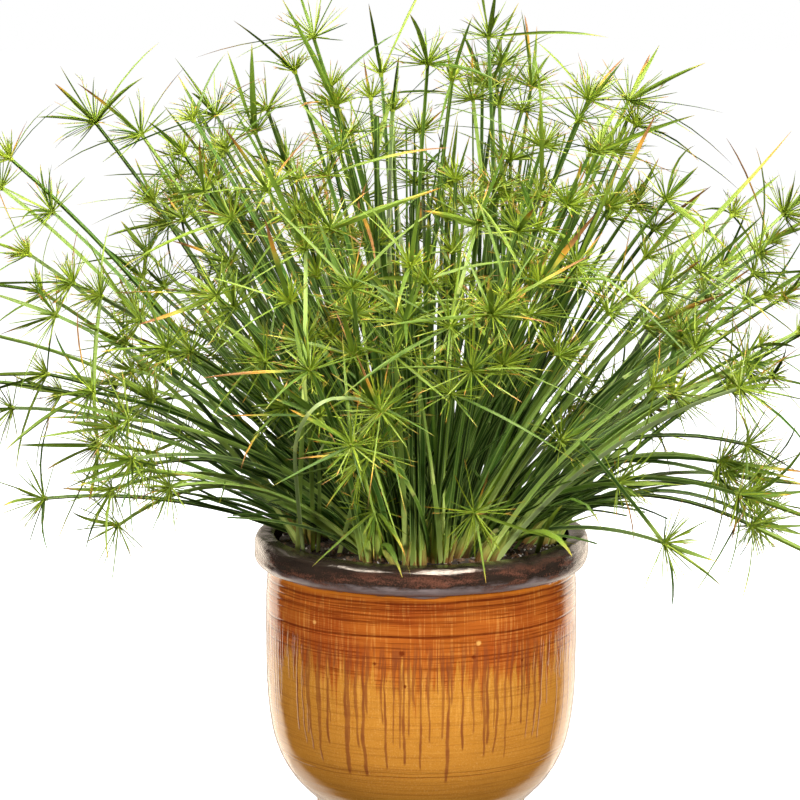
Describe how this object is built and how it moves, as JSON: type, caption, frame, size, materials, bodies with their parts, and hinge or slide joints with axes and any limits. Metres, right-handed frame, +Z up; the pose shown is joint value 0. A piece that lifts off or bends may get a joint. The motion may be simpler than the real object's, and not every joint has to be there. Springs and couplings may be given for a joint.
{
  "type": "potted papyrus plant",
  "caption": "Dwarf papyrus with arching stems and starry umbels, growing in a round glazed stoneware pot with a rolled rim.",
  "frame": {"origin": "centre of the flat underside of the pot's foot, on the ground", "axes": "+Z up along the pot's axis, -Y towards the front"},
  "size_m": [0.8361, 0.6278, 0.7266],
  "materials": {
    "glaze": "gloss",
    "soil": "matte",
    "foliage": "satin"
  },
  "bodies": {
    "root": {"pot": "glaze", "soil": "soil", "tuft_01": "foliage", "tuft_02": "foliage", "tuft_03": "foliage", "tuft_04": "foliage", "tuft_05": "foliage", "tuft_06": "foliage", "tuft_07": "foliage", "tuft_08": "foliage", "tuft_09": "foliage", "tuft_10": "foliage", "tuft_11": "foliage", "tuft_12": "foliage", "tuft_13": "foliage", "tuft_14": "foliage", "tuft_15": "foliage", "tuft_16": "foliage", "tuft_17": "foliage", "tuft_18": "foliage", "tuft_19": "foliage", "tuft_20": "foliage", "tuft_21": "foliage", "tuft_22": "foliage", "tuft_23": "foliage", "tuft_24": "foliage", "tuft_25": "foliage", "tuft_26": "foliage", "tuft_27": "foliage", "tuft_28": "foliage", "tuft_29": "foliage", "tuft_30": "foliage", "tuft_31": "foliage", "tuft_32": "foliage", "tuft_33": "foliage", "tuft_34": "foliage", "tuft_35": "foliage", "tuft_36": "foliage", "tuft_37": "foliage", "tuft_38": "foliage", "tuft_39": "foliage", "tuft_40": "foliage", "tuft_41": "foliage", "tuft_42": "foliage", "tuft_43": "foliage", "tuft_44": "foliage", "tuft_45": "foliage", "tuft_46": "foliage", "tuft_47": "foliage", "tuft_48": "foliage", "tuft_49": "foliage", "tuft_50": "foliage"}
  },
  "joints": []
}
